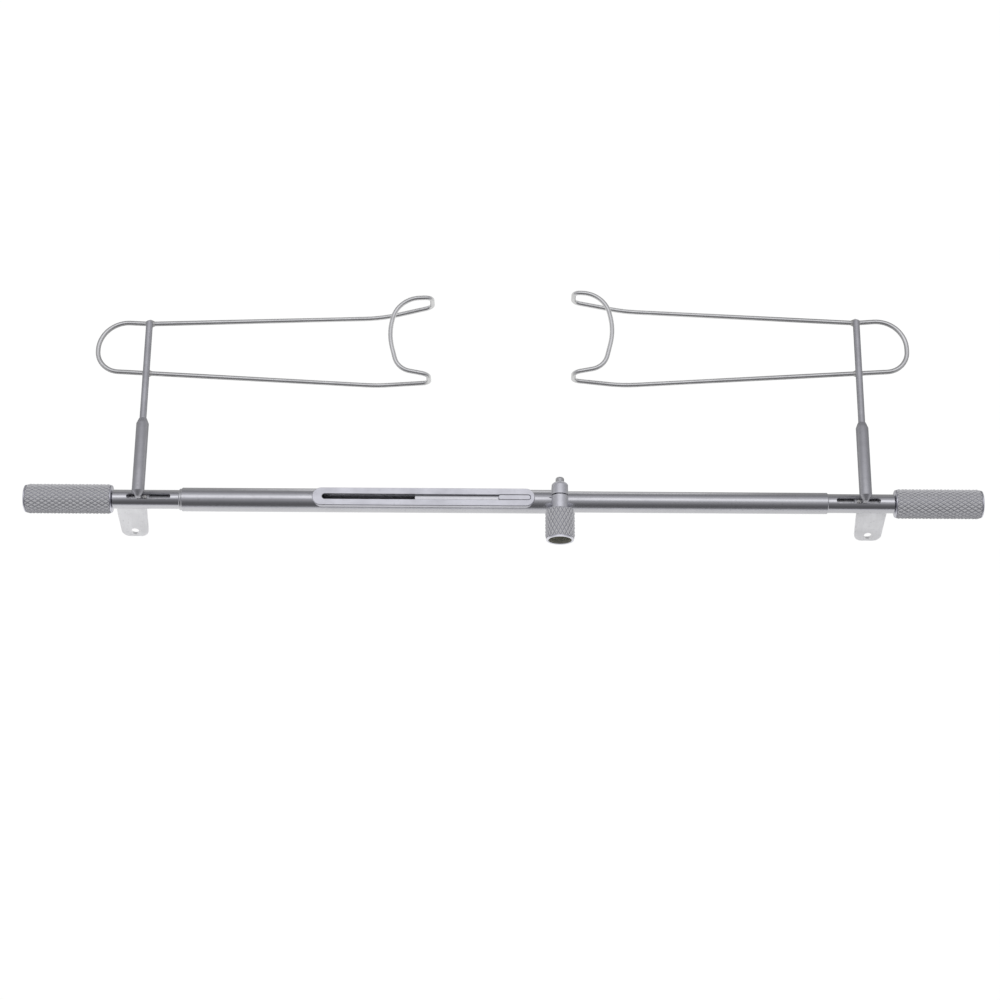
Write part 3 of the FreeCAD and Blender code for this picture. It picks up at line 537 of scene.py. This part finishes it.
def bevel_rims(piece, heights, width, segments=2):
    """Bevel the round rims that lie at these heights."""
    def is_rim(edge):
        level = [vert.co.z for vert in edge.verts]
        radii = [vert.co.xy.length for vert in edge.verts]
        on_circle = abs(level[0] - level[1]) < NEAR and abs(radii[0] - radii[1]) < NEAR and radii[0] > NEAR
        return on_circle and any(abs(level[0] - height) < NEAR for height in heights)
    edit_elements(piece, "edges", is_rim)
    bpy.ops.mesh.bevel(offset=width, segments=segments, profile=0.6, affect="EDGES")


def give_finish(core, slot, chosen):
    """Put the faces that a test chooses in one of the core's finishes."""
    edit_elements(core, "faces", chosen)
    core.active_material_index = slot
    bpy.ops.object.material_slot_assign()


def shade_knurl_valleys(core, radius, low, high):
    """Cut the core's side at two heights, and give what the knurl covers between them the dull, darker valley finish:
    painted shade in the knurl's valleys.
    """
    for height in (low, high):
        bpy.ops.mesh.select_all(action="SELECT")
        bpy.ops.mesh.bisect(plane_co=(0, 0, height), plane_no=(0, 0, 1))
    inside = radius - KNURL_WALL
    give_finish(core, VALLEY_SHADE_SLOT,
                lambda face: low < face_height(face) < high and face_radius(face) > inside)


def finish_knurled(core, sleeve, node, direction, start):
    """Join the sleeve to its core, point them along a direction, and let them ride with their body."""
    select_only(core, sleeve)
    bpy.ops.object.join()
    turn = Vector((0, 0, 1)).rotation_difference(Vector(direction))
    core.data.transform(Matrix.Translation(start) @ turn.to_matrix().to_4x4())
    smooth(core, degrees=24)
    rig.replaces(core, node)
    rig.slot(core, "knurled_steel")
    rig.ride(core, body_name(node))


def end_knob(side_name, side):
    """An end knob: knurled between plain chamfered ends, with a shallow turned dish in its outer face."""
    node = side_name + "_knob"
    low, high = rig.box(node)
    length = high.x - low.x
    radius = (high.z - low.z) / 2
    inner_collar = 0.12 * MM
    outer_collar = 0.30 * MM
    inner_chamfer = 0.08 * MM
    outer_chamfer = 0.22 * MM
    screw_hole = 0.62 * MM
    screw_hole_depth = 1.5 * MM
    dish = 0.95 * MM
    dish_wall = 0.12 * MM
    dish_depth = 0.10 * MM
    core_radius = radius - KNURL_DEPTH + KNURL_BURIED

    core = core_blank(node + "_finished", core_radius, length, [KNURL_STEEL, VALLEY_SHADE_STEEL])
    sink_end(core, 0.0, -1, [(core_radius - screw_hole, 0), (0, screw_hole_depth)])
    sink_end(core, length, 1, [(core_radius - dish, 0), (dish_wall, -dish_depth)])
    bevel_rims(core, (0.0,), inner_chamfer)
    bevel_rims(core, (length,), outer_chamfer, segments=4)
    shade_knurl_valleys(core, core_radius, inner_collar, length - outer_collar)
    bpy.ops.object.mode_set(mode="OBJECT")

    sleeve = knurled_sleeve(node + "_sleeve", radius, length - inner_collar - outer_collar)
    sleeve.data.transform(Matrix.Translation((0, 0, inner_collar)))
    start = low.x if side == RIGHT else high.x
    finish_knurled(core, sleeve, node, (side, 0, 0), Vector((start, 0, 0)))


def clamp_barrel():
    """The barrel: knurled outside, with a bright rim and a deep bore at its open end."""
    node = "clamp_barrel"
    low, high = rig.box(node)
    length = high.y - low.y
    radius = (high.z - low.z) / 2
    middle = (low + high) / 2
    shoulder = 0.05 * MM
    rim = 0.22 * MM
    chamfer = 0.07 * MM
    screw_hole = 0.69 * MM
    screw_hole_depth = 1.1 * MM
    bore = 1.83 * MM
    bore_depth = 3.75 * MM
    slack = 0.03 * MM
    core_radius = radius - KNURL_DEPTH + KNURL_BURIED

    core = core_blank(node + "_finished", core_radius, length, [KNURL_STEEL, VALLEY_SHADE_STEEL, BORE_SHADE_STEEL])
    sink_end(core, length, 1, [(core_radius - bore, 0), (0, -bore_depth)])
    sink_end(core, 0.0, -1, [(core_radius - screw_hole, 0), (0, screw_hole_depth)])
    bevel_rims(core, (0.0, length), chamfer)
    deepest = screw_hole_depth + slack
    mouth = length - chamfer - slack
    # Painted shade: the bore's inside takes the darker bored finish
    give_finish(core, BORE_SHADE_SLOT,
                lambda face: deepest < face_height(face) < mouth and face_radius(face) < bore + slack)
    shade_knurl_valleys(core, core_radius, shoulder, length - rim)
    bpy.ops.object.mode_set(mode="OBJECT")

    sleeve = knurled_sleeve(node + "_sleeve", radius, length - shoulder - rim)
    sleeve.data.transform(Matrix.Translation((0, 0, shoulder)))
    finish_knurled(core, sleeve, node, (0, -1, 0), Vector((middle.x, high.y, middle.z)))


# The whole instrument, from the bar out to the blades

for node in ("outer_tube", "inner_tube"):
    polished(node, BAR_STEEL, "bar_steel")
polished("left_end_bush", BUSH_STEEL, "bar_steel")
for node in ("guide_strip", "guide_key"):
    polished(node, STRIP_STEEL, "satin_steel")
for node in ("upper_clamp_ear", "lower_clamp_ear"):
    polished(node, CLAMP_STEEL, "satin_steel")
for node in ("clamp_washer", "clamp_screw"):
    polished(node, SCREW_STEEL, "screw_steel")
clamp_barrel()
for side_name, side in SIDES:
    polished(side_name + "_slotted_rod", SLIDE_STEEL, "bar_steel")
    polished(side_name + "_screw_bush", SCREW_STEEL, "screw_steel")
    polished(side_name + "_lead_screw", LIGHTENED_NUT_STEEL, "screw_steel")
    polished(side_name + "_travel_nut", LIGHTENED_NUT_STEEL, "screw_steel")
    polished(side_name + "_guide_pin", BRAZE_SILVER, "satin_steel")
    polished(side_name + "_side_tab", TAB_STEEL, "tab_steel")
    polished(side_name + "_post_socket", POST_STEEL, "satin_steel")
    polished(side_name + "_post_stem", POST_STEEL, "satin_steel")
    polished(side_name + "_blade_wire", WIRE_STEEL, "wire_steel", degrees=60)
    polished(side_name + "_upper_braze", BRAZE_SILVER, "wire_steel")
    polished(side_name + "_lower_braze", BRAZE_SILVER, "wire_steel")
    end_knob(side_name, side)


# Table, light and view

def resting_plane():
    """The table's upward direction and its distance, where tabs and blades both touch it."""
    def points(names):
        return [vert.co for name in names for vert in frame["nodes"][name].data.vertices]
    tabs = points(["left_side_tab", "right_side_tab"])
    blades = points(["left_blade_wire", "right_blade_wire"])
    flattest = 0.0
    steepest = math.radians(45)
    halvings = 40
    for _ in range(halvings):
        tilt = (flattest + steepest) / 2
        up = Vector((0, -math.sin(tilt), math.cos(tilt)))
        if min(up.dot(point) for point in tabs) < min(up.dot(point) for point in blades):
            flattest = tilt
        else:
            steepest = tilt
    return up, min(up.dot(point) for point in tabs + blades)


def table_finish():
    """Matt white that glows to the camera, and glows to the steel as painted reflections, a tone of its own for each
    place.
    """
    material, add, link = new_material("white table")
    place = add("ShaderNodeSeparateXYZ")
    link(add("ShaderNodeTexCoord").outputs["Object"], place.inputs[0])
    across = place.outputs["X"]
    back = place.outputs["Y"]

    # Painted reflections: only glossy rays see these tones by place, which darken the bar's upper side and light the
    # hooks
    before_bar = remap(add, link, back, *TABLE_FADE, 1.0, 0.0)
    under_hooks = math_node(add, link, "MULTIPLY",
                            remap(add, link, back, *HOOK_PATCH_NEAR, 0.0, 1.0),
                            remap(add, link, back, *HOOK_PATCH_FAR, 1.0, 0.0))
    from_middle = math_node(add, link, "ABSOLUTE", across)
    under_hooks = math_node(add, link, "MULTIPLY", under_hooks,
                            remap(add, link, from_middle, *HOOK_PATCH_SIDE, 1.0, 0.0))
    bright = math_node(add, link, "MAXIMUM", before_bar, under_hooks)
    tone = remap(add, link, bright, 0.0, 1.0, TABLE_FAR, TABLE_NEAR)
    # Painted reflection: brighter at the table's left end than at its right, as if lit from the left
    end_tone = remap(add, link, across, -TABLE_ENDS, TABLE_ENDS, TABLE_LEFT_TONE, TABLE_RIGHT_TONE)
    mirrored = math_node(add, link, "MULTIPLY", tone, end_tone)

    rays = add("ShaderNodeLightPath")
    strength = add("ShaderNodeMix", data_type="FLOAT")
    link(rays.outputs["Is Camera Ray"], strength.inputs["Factor"])
    link(mirrored, strength.inputs["A"])
    strength.inputs["B"].default_value = TABLE_SEEN
    glow = add("ShaderNodeEmission")
    link(strength.outputs["Result"], glow.inputs["Strength"])
    matt = add("ShaderNodeBsdfDiffuse")
    matt.inputs["Color"].default_value = TABLE_PAINT
    seen = math_node(add, link, "MAXIMUM", rays.outputs["Is Camera Ray"], rays.outputs["Is Glossy Ray"])
    mix = add("ShaderNodeMixShader")
    link(math_node(add, link, "MULTIPLY", seen, TABLE_GLOW), mix.inputs["Fac"])
    link(matt.outputs["BSDF"], mix.inputs[1])
    link(glow.outputs["Emission"], mix.inputs[2])
    link(mix.outputs["Shader"], add("ShaderNodeOutputMaterial").inputs["Surface"])
    return material


def table_top():
    """A white table that the tabs and the blades rest on."""
    up, distance = resting_plane()
    bpy.ops.object.select_all(action="DESELECT")
    bpy.ops.mesh.primitive_grid_add(x_subdivisions=8, y_subdivisions=8, size=TABLE_SIZE)
    table = bpy.context.object
    table.name = "table_top"
    turn = Vector((0, 0, 1)).rotation_difference(up)
    table.data.transform(Matrix.Translation(up * (distance - TABLE_GAP)) @ turn.to_matrix().to_4x4())
    table.data.materials.append(table_finish())
    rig.stage(table)


def soft_box(name, place, aim, size, power):
    """A soft studio lamp that faces a point."""
    lamp = bpy.data.lights.new(name, "AREA")
    lamp.shape = "RECTANGLE"
    lamp.size, lamp.size_y = size
    lamp.energy = power
    holder = bpy.data.objects.new(name, lamp)
    bpy.context.scene.collection.objects.link(holder)
    holder.location = place
    holder.rotation_mode = "QUATERNION"
    holder.rotation_quaternion = (Vector(aim) - Vector(place)).to_track_quat("-Z", "Y")


def studio_world():
    """A broad soft light overhead that fades to dark walls before and behind, and to grey at the sides.

    The camera itself sees a white backdrop."""
    world = bpy.data.worlds.new("studio")
    bpy.context.scene.world = world
    world.use_nodes = True
    tree = world.node_tree
    add, link = node_tools(tree)
    toward = add("ShaderNodeSeparateXYZ")
    link(add("ShaderNodeTexCoord").outputs["Generated"], toward.inputs[0])
    rise = math_node(add, link, "ARCTAN2", toward.outputs["Z"], toward.outputs["Y"])
    ramp = add("ShaderNodeValToRGB")
    ramp.color_ramp.interpolation = "B_SPLINE"
    link(remap(add, link, rise, -math.pi, math.pi, 0.0, 1.0), ramp.inputs["Fac"])
    stops = ramp.color_ramp.elements
    while len(stops) < len(WALL_TONES):
        stops.new(0.5)
    for stop, (angle, tone) in zip(stops, WALL_TONES):
        stop.position = (angle + 180) / 360
        stop.color = (tone, tone, tone * COOL, 1)

    sideways = math_node(add, link, "ABSOLUTE", toward.outputs["X"])
    walls = add("ShaderNodeMix", data_type="RGBA")
    link(remap(add, link, sideways, *SIDE_FADE, 0.0, 1.0), walls.inputs["Factor"])
    link(ramp.outputs["Color"], walls.inputs["A"])
    walls.inputs["B"].default_value = (SIDE_TONE, SIDE_TONE, SIDE_TONE * COOL, 1)
    backdrop = add("ShaderNodeMix", data_type="RGBA")
    link(add("ShaderNodeLightPath").outputs["Is Camera Ray"], backdrop.inputs["Factor"])
    link(walls.outputs["Result"], backdrop.inputs["A"])
    backdrop.inputs["B"].default_value = WHITE
    link(backdrop.outputs["Result"], tree.nodes["Background"].inputs["Color"])


def camera():
    """The photograph's camera."""
    lens = bpy.data.cameras.new("photo view")
    lens.sensor_width = SENSOR_WIDTH
    lens.lens = SENSOR_WIDTH * PIXELS_PER_MM * VIEW_DISTANCE / MM / FRAME_PIXELS
    lens.shift_x = -(ORIGIN_PIXEL[0] - FRAME_PIXELS / 2) / FRAME_PIXELS
    lens.shift_y = (ORIGIN_PIXEL[1] - FRAME_PIXELS / 2) / FRAME_PIXELS
    lens.clip_start = NEAREST_SEEN
    lens.clip_end = FARTHEST_SEEN
    holder = bpy.data.objects.new("photo view", lens)
    bpy.context.scene.collection.objects.link(holder)
    back = Vector((0, -math.sin(VIEW_TILT), math.cos(VIEW_TILT)))
    holder.location = back * VIEW_DISTANCE
    holder.rotation_mode = "QUATERNION"
    upright = (-back).to_track_quat("-Z", "Y")
    holder.rotation_quaternion = upright @ Quaternion((0, 0, 1), VIEW_ROLL)
    bpy.context.scene.camera = holder


table_top()
studio_world()
soft_box("high softbox", place=(0.0, 0.20, 0.88), aim=(0, 0.01, 0), size=(0.9, 0.36), power=0.45)
camera()
bpy.context.scene.view_settings.view_transform = "Standard"

new_low, new_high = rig.bounds()
with open("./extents.json", "w") as file:
    json.dump({"cad": [list(cad_low), list(cad_high)], "visual": [list(new_low), list(new_high)]}, file)
